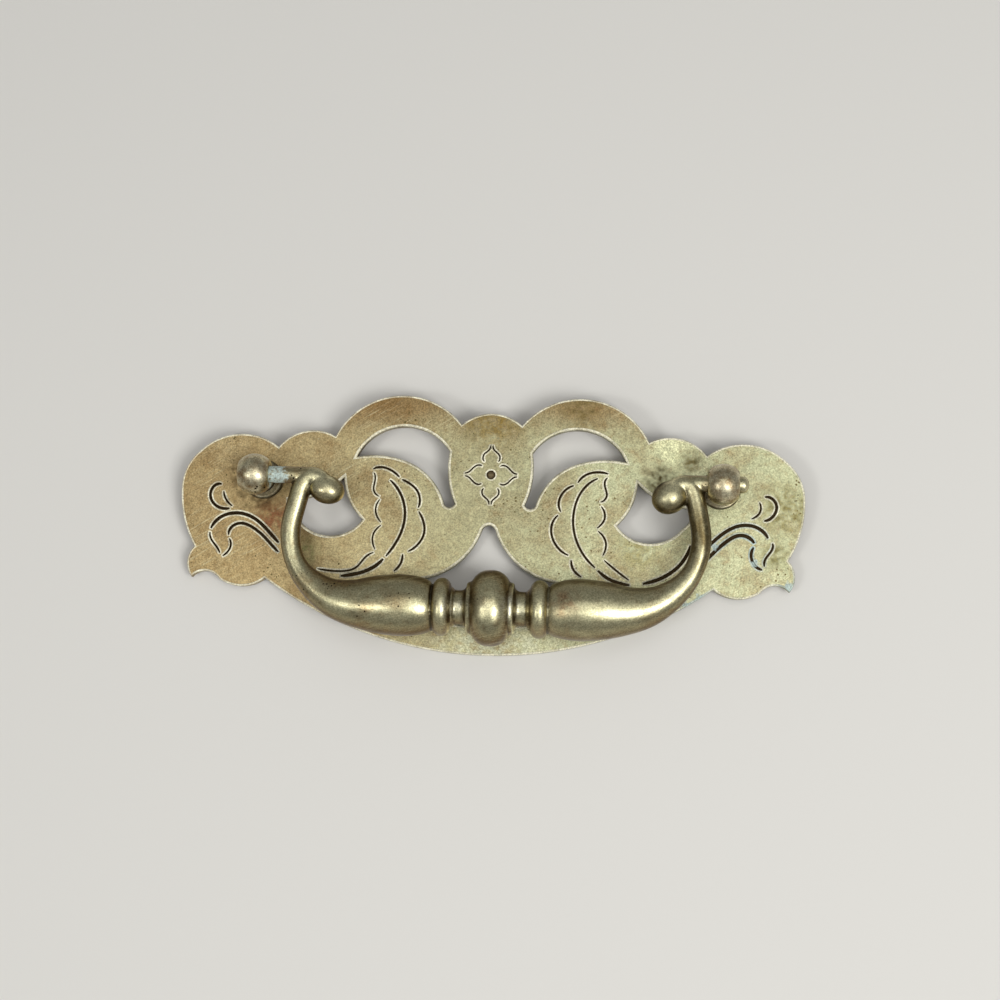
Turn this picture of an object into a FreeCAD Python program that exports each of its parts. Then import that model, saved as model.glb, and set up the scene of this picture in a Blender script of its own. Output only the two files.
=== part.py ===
import FreeCAD
import Part
import Sketcher
import math
import os
from FreeCAD import Placement, Rotation, Vector

# Bail pull for a drawer: an engraved and pierced backplate, two ball-headed posts
# and a swinging bail with turned bellies. All sizes are in millimetres.
# The part lies on its back: X runs along the plate, Y towards its top edge and Z out
# of its front. The origin is on the back face, midway between the two posts.

os.makedirs("parts", exist_ok=True)
doc = FreeCAD.newDocument("bail_pull")

# Driving dimensions
SIZES = [
    ("post_spacing", 88.9),
    ("plate_overhang", 16.25),
    ("plate_top", 17.2),
    ("plate_bottom", 33.1),
    ("plate_thickness", 1.6),
    ("stub_length", 3.0),
    ("shank_diameter", 5.6),
    ("shank_clearance", 0.1),
    ("collar_diameter", 7.8),
    ("collar_thickness", 1.0),
    ("neck_diameter", 4.9),
    ("ball_diameter", 7.8),
    ("cheek_width", 5.9),
    ("pivot_rise", 8.6),
    ("screw_hole_diameter", 3.5),
    ("screw_hole_depth", 7.5),
    ("pin_diameter", 3.2),
    ("pin_clearance", 0.05),
    ("pin_length", 7.9),
    ("pin_end_rounding", 1.0),
    ("cheek_gap", 0.25),
    ("bail_drop", 24.3),
    ("bail_offset", 1.35),
    ("left_arm_set", 1.25),
    ("arm_diameter", 3.8),
    ("arm_bulge", 1.2),
    ("arm_elbow_radius", 2.5),
    ("belly_diameter", 11.7),
    ("belly_start", 11.2),
    ("turning_overlap", 0.2),
    ("end_knob_length", 6.9),
    ("right_end_knob_diameter", 6.2),
    ("left_end_knob_diameter", 5.5),
    ("end_knob_inset", 4.9),
    ("end_knob_drop", 2.65),
    ("right_end_knob_slope", 31.0),
    ("left_end_knob_slope", 15.0),
    ("centre_knob_diameter", 14.4),
    ("centre_knob_width", 7.2),
    ("ring_diameter", 9.8),
    ("ring_width", 0.9),
    ("hollow_width", 0.9),
    ("turned_neck_diameter", 6.5),
    ("band_diameter", 7.4),
    ("band_width", 0.5),
    ("bead_diameter", 11.0),
    ("bead_width", 3.4),
    ("bead_gap", 0.3),
    ("bail_gap", 0.3),
    ("groove_depth", 0.35),
    ("groove_width", 0.6),
]

sheet = doc.addObject("Spreadsheet::Sheet", "sizes")
for row, (alias, value) in enumerate(SIZES, start=1):
    sheet.set("A%d" % row, alias)
    sheet.set("B%d" % row, str(value))
    sheet.setAlias("B%d" % row, alias)
# The plate reaches past both posts, so its length follows the boring
sheet.set("A%d" % (len(SIZES) + 1), "plate_length")
sheet.set("B%d" % (len(SIZES) + 1), "=post_spacing + 2 * plate_overhang")
sheet.setAlias("B%d" % (len(SIZES) + 1), "plate_length")
doc.recompute()


def size(alias):
    """One driving dimension, as a plain number."""
    return float(sheet.get(alias))


# Places that follow from the driving dimensions
HALF_SPACING = size("post_spacing") / 2
PLATE_FRONT = size("plate_thickness")
PIVOT_HEIGHT = PLATE_FRONT + size("pivot_rise")

# How far the middle of a quarter round stands back from its square corner, in radii
QUARTER_ROUND = 1 - math.sqrt(0.5)
# How far a cutter starts clear of the metal
CUT_OVERSHOOT = 0.5
# Places closer together than this are the same place
NEAR = 1e-4


def new_body(label):
    body = doc.addObject("PartDesign::Body", label)
    body.Label = label
    return body


def new_sketch(body, name, role, height=None):
    """A sketch on one of the body's own origin planes, lifted by a sheet expression."""
    sketch = body.newObject("Sketcher::SketchObject", name)
    plane = [p for p in body.Origin.OriginFeatures if p.Role == role][0]
    sketch.AttachmentSupport = [(plane, "")]
    sketch.MapMode = "FlatFace"
    if height:
        sketch.setExpression("AttachmentOffset.Base.z", height)
    return sketch


def new_feature(body, kind, name, sketch):
    feature = body.newObject("PartDesign::" + kind, name)
    feature.Profile = sketch
    sketch.Visibility = False
    return feature


def draw_path(sketch, points, closed=True):
    """Draw spans from point to point: a pair of points is the middle and end of an arc,
    a single point is the end of a straight line."""
    start = Vector(points[0][0], points[0][1], 0)
    first = start
    for span in points[1:]:
        if isinstance(span[0], tuple):
            middle = Vector(span[0][0], span[0][1], 0)
            end = Vector(span[1][0], span[1][1], 0)
            sketch.addGeometry(Part.Arc(start, middle, end))
        else:
            end = Vector(span[0], span[1], 0)
            sketch.addGeometry(Part.LineSegment(start, end))
        start = end
    if closed and (start - first).Length > NEAR:
        sketch.addGeometry(Part.LineSegment(start, first))


def draw_circle(sketch, x, y, diameter):
    """A circle whose diameter follows the sheet."""
    circle = Part.Circle(Vector(x, y, 0), Vector(0, 0, 1), 1.0)
    index = sketch.addGeometry(circle)
    number = sketch.addConstraint(Sketcher.Constraint("Diameter", index, 2.0))
    sketch.setExpression("Constraints[%d]" % number, diameter)
    return index


# The plate's outline and openings are drawn on a plate of this size and then
# stretched to the plate's own length, top and bottom.
DRAWN_LENGTH = 121.4
DRAWN_TOP = 17.2
DRAWN_BOTTOM = 33.1


def on_plate(point, side=1):
    x = side * point[0] * size("plate_length") / DRAWN_LENGTH
    top = size("plate_top") / DRAWN_TOP
    bottom = size("plate_bottom") / DRAWN_BOTTOM
    return (x, point[1] * (top if point[1] > 0 else bottom))


def path_on_plate(points, side=1):
    path = [on_plate(points[0], side)]
    for span in points[1:]:
        if isinstance(span[0], tuple):
            path.append((on_plate(span[0], side), on_plate(span[1], side)))
        else:
            path.append(on_plate(span, side))
    return path


def mirrored_back(points):
    """The same path on the left half, walked back from its end to its start."""
    ends = [points[0]] + [span[1] for span in points[1:]]
    middles = [span[0] for span in points[1:]]
    back = [(-ends[-1][0], ends[-1][1])]
    for index in range(len(middles) - 1, -1, -1):
        middle = middles[index]
        end = ends[index]
        back.append(((-middle[0], middle[1]), (-end[0], end[1])))
    return back


# Right half of the outline, from the top of the centre lobe round to the bottom
RIGHT_OUTLINE = [
    (0, 14.0),
    ((3.3, 13.3), (5.9, 11.7)),
    ((16.8, 17.2), (30.65, 8.9)),
    ((35.9, 9.9), (41.8, 6.55)),
    ((49.8, 8.95), (57.2, 5.6)),
    ((59.9, 2.0), (60.7, -2.4)),
    ((59.9, -8.1), (57.6, -13.4)),
    ((58.9, -16.5), (57.9, -19.4)),
    ((55.1, -18.2), (52.3, -19.7)),
    ((47.8, -21.0), (43.4, -19.3)),
    ((22.4, -29.7), (0, -33.1)),
]

# Pierced openings, right half: the crescent under the big arch, the comma beside
# the post and the winged triangle between the two scrolls
CRESCENT = [
    (8.1, 6.3),
    ((17.4, 11.0), (26.3, 4.9)),
    ((21.7, 5.3), (17.2, 4.5)),
    ((12.3, 1.7), (8.9, -4.0)),
    ((7.7, -4.6), (6.8, -3.9)),
    ((8.2, 1.0), (8.1, 6.3)),
]
COMMA = [
    (28.6, 0.85),
    ((27.7, -3.2), (24.7, -7.4)),
    ((31.3, -10.7), (37.2, -7.8)),
    ((38.8, -6.0), (39.4, -3.8)),
    ((33.6, -2.7), (28.6, 0.85)),
]
TRIANGLE = [
    (0, -7.9),
    ((0.8, -8.2), (1.3, -8.9)),
    ((4.9, -14.7), (11.6, -18.5)),
    ((16.4, -20.3), (19.6, -23.6)),
    ((19.7, -24.7), (18.6, -25.2)),
    ((9.4, -26.9), (0, -27.4)),
]


# A stroke of the graver starts and ends narrower than it runs
STROKE_END_SHARE = 0.55
STROKE_STEPS = 2


def stroke_sides(points, width):
    """The two edges of a graver's stroke along a smooth line through the points."""
    line = Part.BSplineCurve()
    line.interpolate([Vector(x, y, 0) for x, y in points])
    steps = STROKE_STEPS * (len(points) - 1)
    left = []
    right = []
    for step in range(steps + 1):
        place = line.FirstParameter + (line.LastParameter - line.FirstParameter) * step / steps
        share = STROKE_END_SHARE if step in (0, steps) else 1.0
        along = line.tangent(place)[0]
        across = Vector(-along.y, along.x, 0) * (share * width / 2)
        left.append(line.value(place) + across)
        right.append(line.value(place) - across)
    return left, right


def draw_stroke(sketch, points, weight=1.0):
    left, right = stroke_sides(points, size("groove_width") * weight)
    for edge in (left, right):
        curve = Part.BSplineCurve()
        curve.interpolate(edge)
        sketch.addGeometry(curve)
    sketch.addGeometry(Part.LineSegment(left[0], right[0]))
    sketch.addGeometry(Part.LineSegment(left[-1], right[-1]))


# Engraving as the centre lines of single strokes, each with its weight. It is cut
# freehand, so the two halves differ a little; X is counted outwards on both.
LEFT_ENGRAVING = {
    "leaf_lobes": [
        ([(23.0, 2.55), (21.6, 2.95), (20.0, 2.65), (17.7, 1.0)], 1.0),
        ([(17.3, 0.65), (15.6, -0.2), (14.2, -1.5), (13.6, -3.3), (13.9, -4.9)], 1.0),
        ([(13.8, -5.5), (12.8, -7.4), (12.5, -9.3), (13.3, -11.5), (15.6, -13.4)], 1.0),
        ([(16.6, -13.9), (16.8, -15.5), (18.2, -17.3)], 1.0),
    ],
    "leaf_inner_edge": [
        ([(22.85, 1.9), (22.5, 0.6), (22.75, -1.1), (21.5, -2.8)], 0.8),
        ([(21.4, -3.3), (22.2, -5.3), (21.0, -7.9)], 0.8),
        ([(21.0, -8.4), (22.5, -10.3), (22.0, -13.2)], 0.8),
        ([(22.2, -13.8), (24.0, -14.9), (25.5, -16.7), (28.7, -17.6), (33.2, -17.2)], 0.9),
    ],
    "leaf_rib": [
        ([(19.6, 0.5), (17.7, -1.7), (16.5, -5.0), (16.6, -8.2), (17.9, -11.6), (19.9, -14.5)], 1.1),
        ([(20.3, -14.9), (22.3, -16.7), (25.1, -17.9), (28.6, -18.5)], 1.4),
    ],
    "ear_crescents": [
        ([(52.7, -1.1), (54.0, -1.3), (54.9, -3.0), (54.0, -5.1), (52.2, -5.9), (50.9, -5.8)], 1.2),
        ([(52.3, -2.4), (51.8, -4.0), (50.4, -5.4)], 0.9),
    ],
    "ear_scroll": [
        ([(40.9, -12.4), (43.8, -9.4), (46.3, -7.5), (49.7, -6.7), (52.8, -7.7), (54.5, -9.9)], 1.35),
        ([(54.6, -10.5), (54.3, -12.0), (53.2, -13.4), (52.5, -14.7)], 0.9),
        ([(52.0, -15.2), (50.9, -14.3), (50.4, -13.1), (50.8, -11.7)], 0.9),
        ([(50.9, -11.1), (50.2, -9.3), (48.6, -8.7), (46.5, -9.3), (43.7, -11.4), (40.9, -14.2)], 1.2),
    ],
}
RIGHT_ENGRAVING = {
    "leaf_lobes": [
        ([(22.9, 2.6), (21.1, 2.9), (18.7, 2.4), (17.0, 0.7)], 1.0),
        ([(16.3, 0.2), (14.3, -1.1), (13.4, -3.3), (13.9, -5.0)], 1.0),
        ([(13.4, -5.6), (12.1, -8.1), (12.8, -11.0), (15.6, -13.4)], 1.0),
        ([(16.1, -14.2), (16.5, -16.0), (18.2, -17.5)], 1.0),
    ],
    "leaf_inner_edge": [
        ([(22.8, 1.9), (22.2, 0.5), (22.65, -1.3), (21.4, -2.9)], 0.9),
        ([(21.6, -3.7), (22.4, -5.7), (20.9, -8.0)], 0.9),
        ([(21.1, -8.5), (22.7, -10.8), (22.1, -13.3)], 0.9),
        ([(22.4, -14.1), (24.3, -15.7), (27.3, -17.9)], 0.9),
    ],
    "leaf_rib": [
        ([(20.9, 1.7), (18.0, -0.6), (16.5, -4.2), (16.4, -8.2), (18.1, -12.7), (20.8, -15.7)], 1.0),
        ([(21.2, -16.1), (23.5, -17.8), (27.5, -18.8)], 1.3),
    ],
    "scroll_rim": [
        ([(29.9, -18.5), (33.3, -17.4), (36.5, -15.2), (38.9, -10.8)], 1.4),
    ],
    "ear_crescents": [
        ([(52.9, -1.2), (54.2, -1.4), (55.2, -2.8), (54.7, -4.7), (52.8, -5.8)], 1.2),
        ([(51.9, -2.2), (52.2, -3.7), (50.4, -5.5)], 0.9),
    ],
    "ear_scroll": [
        ([(41.0, -12.2), (43.6, -9.7), (46.0, -7.8), (48.5, -6.8), (51.2, -7.0), (53.7, -9.2)], 1.35),
        ([(54.5, -10.0), (54.4, -11.4), (53.4, -12.8), (53.1, -14.6)], 1.0),
        ([(52.7, -15.2), (51.5, -14.7), (50.5, -12.7), (51.0, -10.9)], 1.2),
        ([(51.1, -10.2), (50.0, -9.1), (48.3, -8.7), (46.1, -9.7), (43.5, -12.0), (41.0, -14.4)], 1.4),
    ],
}
# One quarter of the flower: the right edge of its upper petal and the upper edge of its
# right petal, measured from its middle
FLOWER_CENTRE = (0.1, 1.9)
PETAL_STROKES = [
    [(0.28, 5.85), (0.6, 4.8), (1.45, 4.0), (1.65, 3.2), (1.3, 2.6)],
    [(5.2, 0.28), (4.1, 0.7), (3.3, 1.5), (2.4, 1.9), (1.75, 1.65)],
]
PETAL_WEIGHT = 0.75
FLOWER_EYE = 1.9


def make_backplate():
    body = new_body("backplate")

    outline = new_sketch(body, "plate_outline", "XY_Plane")
    draw_path(outline, path_on_plate(RIGHT_OUTLINE), closed=False)
    draw_path(outline, path_on_plate(mirrored_back(RIGHT_OUTLINE)), closed=False)
    sheet_metal = new_feature(body, "Pad", "plate_blank", outline)
    sheet_metal.setExpression("Length", "sizes.plate_thickness")

    pierced = new_sketch(body, "openings", "XY_Plane", "sizes.plate_thickness")
    for side in (-1, 1):
        for opening in (CRESCENT, COMMA):
            draw_path(pierced, path_on_plate(opening, side), closed=False)
    draw_path(pierced, path_on_plate(TRIANGLE), closed=False)
    draw_path(pierced, path_on_plate(mirrored_back(TRIANGLE)), closed=False)
    saw_cuts = new_feature(body, "Pocket", "saw_cuts", pierced)
    saw_cuts.Type = "ThroughAll"
    doc.recompute()

    holes = new_sketch(body, "post_hole_places", "XY_Plane", "sizes.plate_thickness")
    for side in (-1, 1):
        draw_circle(holes, side * HALF_SPACING, 0,
                    "sizes.shank_diameter + 2 * sizes.shank_clearance")
    drilled = new_feature(body, "Pocket", "post_holes", holes)
    drilled.Type = "ThroughAll"

    for name, half, side in (("left", LEFT_ENGRAVING, -1), ("right", RIGHT_ENGRAVING, 1)):
        for motif, strokes in half.items():
            lines = "%s_%s" % (name, motif)
            sketch = new_sketch(body, lines + "_lines", "XY_Plane", "sizes.plate_thickness")
            for points, weight in strokes:
                draw_stroke(sketch, [on_plate(point, side) for point in points], weight)
            cut = new_feature(body, "Pocket", lines, sketch)
            cut.setExpression("Length", "sizes.groove_depth")

    flower = new_sketch(body, "flower_lines", "XY_Plane", "sizes.plate_thickness")
    middle = on_plate(FLOWER_CENTRE)
    for points in PETAL_STROKES:
        for flip_x in (-1, 1):
            for flip_y in (-1, 1):
                petal = [(middle[0] + flip_x * x, middle[1] + flip_y * y) for x, y in points]
                draw_stroke(flower, petal, PETAL_WEIGHT)
    eye = Part.Circle(Vector(middle[0], middle[1], 0), Vector(0, 0, 1), FLOWER_EYE / 2)
    flower.addGeometry(eye)
    petals = new_feature(body, "Pocket", "flower", flower)
    petals.setExpression("Length", "sizes.groove_depth")
    doc.recompute()
    return body


def make_post(label, side):
    """A turned post: stub and shank through the plate, collar on its front, neck, ball."""
    body = new_body(label)
    shank = size("shank_diameter") / 2
    collar = size("collar_diameter") / 2
    neck = size("neck_diameter") / 2
    ball = size("ball_diameter") / 2
    foot = -size("stub_length")
    collar_top = PLATE_FRONT + size("collar_thickness")
    collar_edge = size("collar_thickness") / 2
    # Height at which the neck runs into the ball
    neck_top = PIVOT_HEIGHT - math.sqrt(ball ** 2 - neck ** 2)

    profile = new_sketch(body, label + "_profile", "XZ_Plane")
    draw_path(profile, [
        (0, foot),
        (shank, foot),
        (shank, PLATE_FRONT),
        (collar, PLATE_FRONT),
        (collar, collar_top - collar_edge),
        ((collar - QUARTER_ROUND * collar_edge, collar_top - QUARTER_ROUND * collar_edge),
         (collar - collar_edge, collar_top)),
        (neck, collar_top),
        (neck, neck_top),
        ((ball, PIVOT_HEIGHT), (0, PIVOT_HEIGHT + ball)),
        (0, foot),
    ])
    turned = new_feature(body, "Revolution", label + "_turning", profile)
    turned.ReferenceAxis = (profile, ["V_Axis"])
    turned.Angle = 360
    doc.recompute()

    # Flat cheeks on both sides of the ball
    cheeks = new_sketch(body, label + "_cheek_lines", "XZ_Plane")
    flat = size("cheek_width") / 2
    low = PIVOT_HEIGHT - ball - CUT_OVERSHOOT
    high = PIVOT_HEIGHT + ball + CUT_OVERSHOOT
    outer = ball + CUT_OVERSHOOT
    for cheek_side in (-1, 1):
        draw_path(cheeks, [
            (cheek_side * flat, low),
            (cheek_side * outer, low),
            (cheek_side * outer, high),
            (cheek_side * flat, high),
        ])
    filed = new_feature(body, "Pocket", label + "_cheeks", cheeks)
    filed.Type = "ThroughAll"
    filed.Midplane = True

    # Cross bore for the bail's pin
    bore = new_sketch(body, label + "_bore_place", "YZ_Plane")
    draw_circle(bore, 0, PIVOT_HEIGHT, "sizes.pin_diameter + 2 * sizes.pin_clearance")
    bored = new_feature(body, "Pocket", label + "_cross_bore", bore)
    bored.Type = "ThroughAll"
    bored.Midplane = True

    # Blind hole for the machine screw that comes through the drawer front
    screw = new_sketch(body, label + "_screw_place", "XY_Plane", "-sizes.stub_length")
    draw_circle(screw, 0, 0, "sizes.screw_hole_diameter")
    tapped = new_feature(body, "Pocket", label + "_screw_hole", screw)
    tapped.Reversed = True
    tapped.setExpression("Length", "sizes.screw_hole_depth")
    body.setExpression("Placement.Base.x", "%d * sizes.post_spacing / 2" % side)
    doc.recompute()
    return body


# Stations of one half of the bow, from the centre turning out to the plain arm: how far
# out between the belly's start and the bow's widest point, how high as a share of the
# drop, and how full between the plain arm's thickness and the belly's.
BOW_STATIONS = [
    (0.0, 0.0, 0.68),
    (0.039, 0.0, 0.82),
    (0.106, 0.002, 0.94),
    (0.191, 0.004, 1.0),
    (0.298, 0.004, 0.96),
    (0.411, 0.006, 0.85),
    (0.521, 0.01, 0.67),
    (0.642, 0.037, 0.49),
    (0.748, 0.09, 0.31),
    (0.833, 0.16, 0.18),
    (0.901, 0.237, 0.075),
    (0.954, 0.333, 0.01),
    (0.995, 0.49, 0.0),
    (1.0, 0.6, 0.0),
    (0.98, 0.745, 0.0),
]
# Stations of the curl, in elbow radii: how far inwards of the arm, how far below the pin
CURL_STATIONS = [
    (0.0, 1.25),
    (0.28, 0.45),
    (0.9, 0.1),
    (1.6, 0.58),
]


def section_radius(fullness):
    arm = size("arm_diameter") / 2
    return arm + fullness * (size("belly_diameter") / 2 - arm)


def arm_sections(side):
    """Places, headings and radii of the round sections from the belly to the curled end.
    Heights are measured from the bow's axis, X from the bail's middle."""
    drop = size("bail_drop")
    arm = size("arm_diameter") / 2
    start = size("belly_start")
    elbow = size("arm_elbow_radius")
    # The right arm stands just clear of the post's inner cheek
    arm_x = HALF_SPACING - size("cheek_width") / 2 - size("cheek_gap") - arm - size("bail_offset")
    reach = arm_x + size("arm_bulge") - start
    stations = []
    for out, up, fullness in BOW_STATIONS:
        stations.append((start + out * reach, up * drop, section_radius(fullness)))
    for inward, below in CURL_STATIONS:
        stations.append((arm_x - inward * elbow, drop - below * elbow, arm))
    # The left arm leans inwards, more the nearer it comes to its post
    lean = size("left_arm_set") if side < 0 else 0.0
    centres = []
    for x, y, radius in stations:
        centres.append(Vector(side * (x - lean * y / drop), y, 0))
    centre_line = Part.BSplineCurve()
    centre_line.interpolate(centres)
    sections = []
    for centre, (x, y, radius) in zip(centres, stations):
        heading = centre_line.tangent(centre_line.parameter(centre))[0]
        sections.append((centre, heading, radius))
    return sections, arm_x - lean


# Shape of the small members: a point on the knob's flank as shares of its half width and
# radius, how far the ring's outer lip is rounded down, the middle of the hollow as a share
# of its width and height, and how far the shoulder lies below the belly's end
KNOB_FLANK_OUT = 0.72
KNOB_FLANK_UP = 0.88
RING_ROUNDING = 0.35
HOLLOW_DEPTH = 0.3
SHOULDER_DROP = 0.5
# The pin starts inside the elbow, this many elbow radii inwards of the arm
PIN_ROOT_DEPTH = 0.8


def make_bail():
    """The bail lies in its own XY plane with the bow's axis on X, then is hung from
    the posts, tipped so that the centre knob clears the plate."""
    body = new_body("bail")
    knob = size("centre_knob_diameter") / 2
    half = size("centre_knob_width") / 2
    ring = size("ring_diameter") / 2
    turned_neck = size("turned_neck_diameter") / 2
    band = size("band_diameter") / 2
    bead = size("bead_diameter") / 2
    start = size("belly_start")
    bead_end = start - size("bead_gap")
    bead_start = bead_end - size("bead_width")
    bead_middle = (bead_start + bead_end) / 2
    neck_end = bead_start - size("band_width")
    ring_end = half + size("ring_width")
    neck_start = ring_end + size("hollow_width")
    # The belly springs from a shoulder lower than its own end
    shoulder = section_radius(BOW_STATIONS[0][2]) - SHOULDER_DROP
    end = start + size("turning_overlap")
    ring_lip = ring - RING_ROUNDING

    profile = new_sketch(body, "turning_profile", "XY_Plane")
    right_side = [
        (0, knob),
        ((half * KNOB_FLANK_OUT, knob * KNOB_FLANK_UP), (half, ring)),
        (((half + ring_end) / 2, ring), (ring_end, ring_lip)),
        ((ring_end + HOLLOW_DEPTH * (neck_start - ring_end),
          turned_neck + HOLLOW_DEPTH * (ring_lip - turned_neck)), (neck_start, turned_neck)),
        (neck_end, turned_neck),
        (neck_end, band),
        (bead_start, band),
        ((bead_middle, bead), (bead_end, shoulder)),
        (end, shoulder),
        (end, 0),
    ]
    left_side = [(0, knob)]
    for span in right_side[1:]:
        if isinstance(span[0], tuple):
            left_side.append(tuple((-x, y) for x, y in span))
        else:
            left_side.append((-span[0], span[1]))
    draw_path(profile, right_side, closed=False)
    draw_path(profile, left_side, closed=False)
    profile.addGeometry(Part.LineSegment(Vector(end, 0, 0), Vector(-end, 0, 0)))
    turning = new_feature(body, "Revolution", "centre_turning", profile)
    turning.ReferenceAxis = (profile, ["H_Axis"])
    turning.Angle = 360
    doc.recompute()

    for side, name in ((-1, "left"), (1, "right")):
        sections, arm_x = arm_sections(side)
        rings = []
        for index, (centre, heading, radius) in enumerate(sections):
            section = body.newObject("Sketcher::SketchObject", "%s_section_%d" % (name, index))
            section.addGeometry(Part.Circle(Vector(0, 0, 0), Vector(0, 0, 1), radius))
            # Every section starts at its top, so that the loft has no twist
            top = Vector(0, 0, 1)
            turn = Rotation(top, heading.cross(top), heading, "ZXY")
            section.Placement = Placement(centre, turn)
            section.Visibility = False
            rings.append(section)
        arm = body.newObject("PartDesign::AdditiveLoft", name + "_bow")
        arm.Profile = rings[0]
        arm.Sections = rings[1:]
        doc.recompute()

        # Ovoid knob that closes the curl, turned about its own long axis
        ovoid_outline = body.newObject("Sketcher::SketchObject", name + "_end_knob_outline")
        ovoid_x = side * (arm_x - size("end_knob_inset"))
        ovoid_y = size("bail_drop") - size("end_knob_drop")
        slope = Rotation(Vector(0, 0, 1), side * size(name + "_end_knob_slope"))
        ovoid_outline.Placement = Placement(Vector(ovoid_x, ovoid_y, 0), slope)
        long_half = size("end_knob_length") / 2
        round_half = size(name + "_end_knob_diameter") / 2
        oval = Part.Ellipse(Vector(0, 0, 0), long_half, round_half)
        ovoid_outline.addGeometry(Part.ArcOfEllipse(oval, 0, math.pi))
        ovoid_outline.addGeometry(
            Part.LineSegment(Vector(-long_half, 0, 0), Vector(long_half, 0, 0)))
        ovoid = new_feature(body, "Revolution", name + "_end_knob", ovoid_outline)
        ovoid.ReferenceAxis = (ovoid_outline, ["H_Axis"])
        ovoid.Angle = 360
        doc.recompute()

        # Pin that turns in the post
        pin_place = new_sketch(body, name + "_pin_place", "YZ_Plane")
        draw_circle(pin_place, size("bail_drop"), 0, "sizes.pin_diameter")
        pin_end = arm_x + size("arm_diameter") / 2 + size("pin_length")
        pin_root = arm_x - size("arm_elbow_radius") * PIN_ROOT_DEPTH
        pin_place.AttachmentOffset = Placement(Vector(0, 0, side * pin_root), Rotation())
        pin = new_feature(body, "Pad", name + "_pin", pin_place)
        pin.Length = pin_end - pin_root
        pin.Reversed = side < 0
        doc.recompute()
        tip = []
        for number, edge in enumerate(pin.Shape.Edges, start=1):
            box = edge.BoundBox
            if abs(box.XMin - side * pin_end) < NEAR and box.XLength < NEAR:
                tip.append("Edge%d" % number)
        domed = body.newObject("PartDesign::Fillet", name + "_pin_end")
        domed.Base = (pin, tip)
        domed.setExpression("Radius", "sizes.pin_end_rounding")
        doc.recompute()

    rest = math.asin((size("pivot_rise") - knob - size("bail_gap")) / size("bail_drop"))
    turn = Rotation(Vector(1, 0, 0), math.degrees(rest))
    hang = turn.multVec(Vector(0, size("bail_drop"), 0))
    body.Placement = Placement(Vector(size("bail_offset"), 0, PIVOT_HEIGHT) - hang, turn)
    return body


NODES = [
    make_backplate(),
    make_post("left_post", -1),
    make_post("right_post", 1),
    make_bail(),
]
doc.recompute()

for item in doc.Objects:
    if "Invalid" in item.State or "Error" in item.State:
        raise RuntimeError("%s did not build" % item.Label)

for node in NODES:
    if node.Shape.isNull() or not node.Shape.isValid() or len(node.Shape.Solids) != 1:
        raise RuntimeError("%s is not one sound solid" % node.Label)
    node.Shape.exportStep("parts/%s.step" % node.Label)
    print("%s: volume %.1f mm3" % (node.Label, node.Shape.Volume))
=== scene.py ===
import math

import bmesh
import bpy
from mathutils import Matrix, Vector


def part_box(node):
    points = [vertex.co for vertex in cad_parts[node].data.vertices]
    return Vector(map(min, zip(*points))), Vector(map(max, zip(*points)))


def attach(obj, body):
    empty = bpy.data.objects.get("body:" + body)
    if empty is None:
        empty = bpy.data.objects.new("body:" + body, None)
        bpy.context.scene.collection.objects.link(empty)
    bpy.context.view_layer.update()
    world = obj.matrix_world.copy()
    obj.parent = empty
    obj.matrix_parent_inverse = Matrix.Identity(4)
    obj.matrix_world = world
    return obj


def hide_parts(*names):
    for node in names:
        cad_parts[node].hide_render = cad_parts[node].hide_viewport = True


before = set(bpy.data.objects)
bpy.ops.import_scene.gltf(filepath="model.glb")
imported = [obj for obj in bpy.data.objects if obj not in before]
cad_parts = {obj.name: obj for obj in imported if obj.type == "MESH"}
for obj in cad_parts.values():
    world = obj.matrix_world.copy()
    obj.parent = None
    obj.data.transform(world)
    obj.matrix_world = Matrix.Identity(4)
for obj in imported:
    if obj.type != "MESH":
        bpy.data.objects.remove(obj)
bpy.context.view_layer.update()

# Bail pull for a drawer front, in antiqued brass: an engraved and pierced backplate,
# two ball-headed posts and a swinging bail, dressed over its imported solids.

bl_info = {
    "name": "Bail Pull",
    "version": (1, 0, 0),
    "blender": (4, 5, 0),
    "location": "3D View > Sidebar > Bail Pull",
    "description": "Builds a brass bail pull with an engraved backplate",
    "category": "Add Mesh",
}

MM = 0.001
PLATE_LOW, PLATE_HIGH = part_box("backplate")
PLATE_FRONT = PLATE_HIGH.z

# Stains on the plate's front, and dark patches of painted shadow beside the posts and the right
# curl: place across and up and reach, in mm, and their colour
PLATE_STAINS_AND_SHADOWS = (
    (1.0, -2.0, 22.0, "#A19C79"),
    (-42.3, -7.3, 5.0, "#865C40"),
    (-35.5, -14.0, 3.6, "#8F8A5E"),
    # The next two: grime and painted shadow beside the left ball
    (-45.5, -1.6, 6.4, "#463720"),
    (-48.6, 2.4, 5.0, "#5C4A30"),
    (0.4, 14.0, 9.0, "#85703F"),
    (57.0, -3.6, 7.0, "#7F774E"),
    (17.6, 15.5, 6.0, "#7A6A45"),
    (-52.0, 7.5, 6.0, "#C0AC80"),
    (34.9, 6.9, 5.0, "#D8D8AC"),
    # The next two: painted shadow beside the right curl and above the right ball
    (32.8, 1.7, 4.6, "#4A4128"),
    (38.5, 5.3, 3.0, "#6A6140"),
    (29.3, -12.0, 6.0, "#958E64"),
    (55.0, -12.3, 3.6, "#7C7750"),
    (2.0, -30.0, 16.0, "#BABA9C"),
)
# Pale salts on the plate: place across and up and reach, in mm
PLATE_SALTS = (
    (43.6, -11.0, 1.1),
    (51.3, -14.0, 1.2),
    (57.9, -18.3, 1.6),
    (41.2, -21.0, 1.7),
    (38.2, -22.6, 1.3),
)
# Where blue-green salts lie on the plate's pale painted edge highlight, given in the same way
BLUE_GREEN_EDGE_SALTS = (
    (48.4, -11.5, 8.0),
    (57.9, -18.3, 4.0),
    (40.4, -21.6, 4.5),
)
FLOWER_EYE = (0.1 * MM, 1.9 * MM, PLATE_FRONT - 0.35 * MM)
LEFT_POST_SALTS = (-42.2 * MM, -1.6 * MM, 9.0 * MM)
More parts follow.
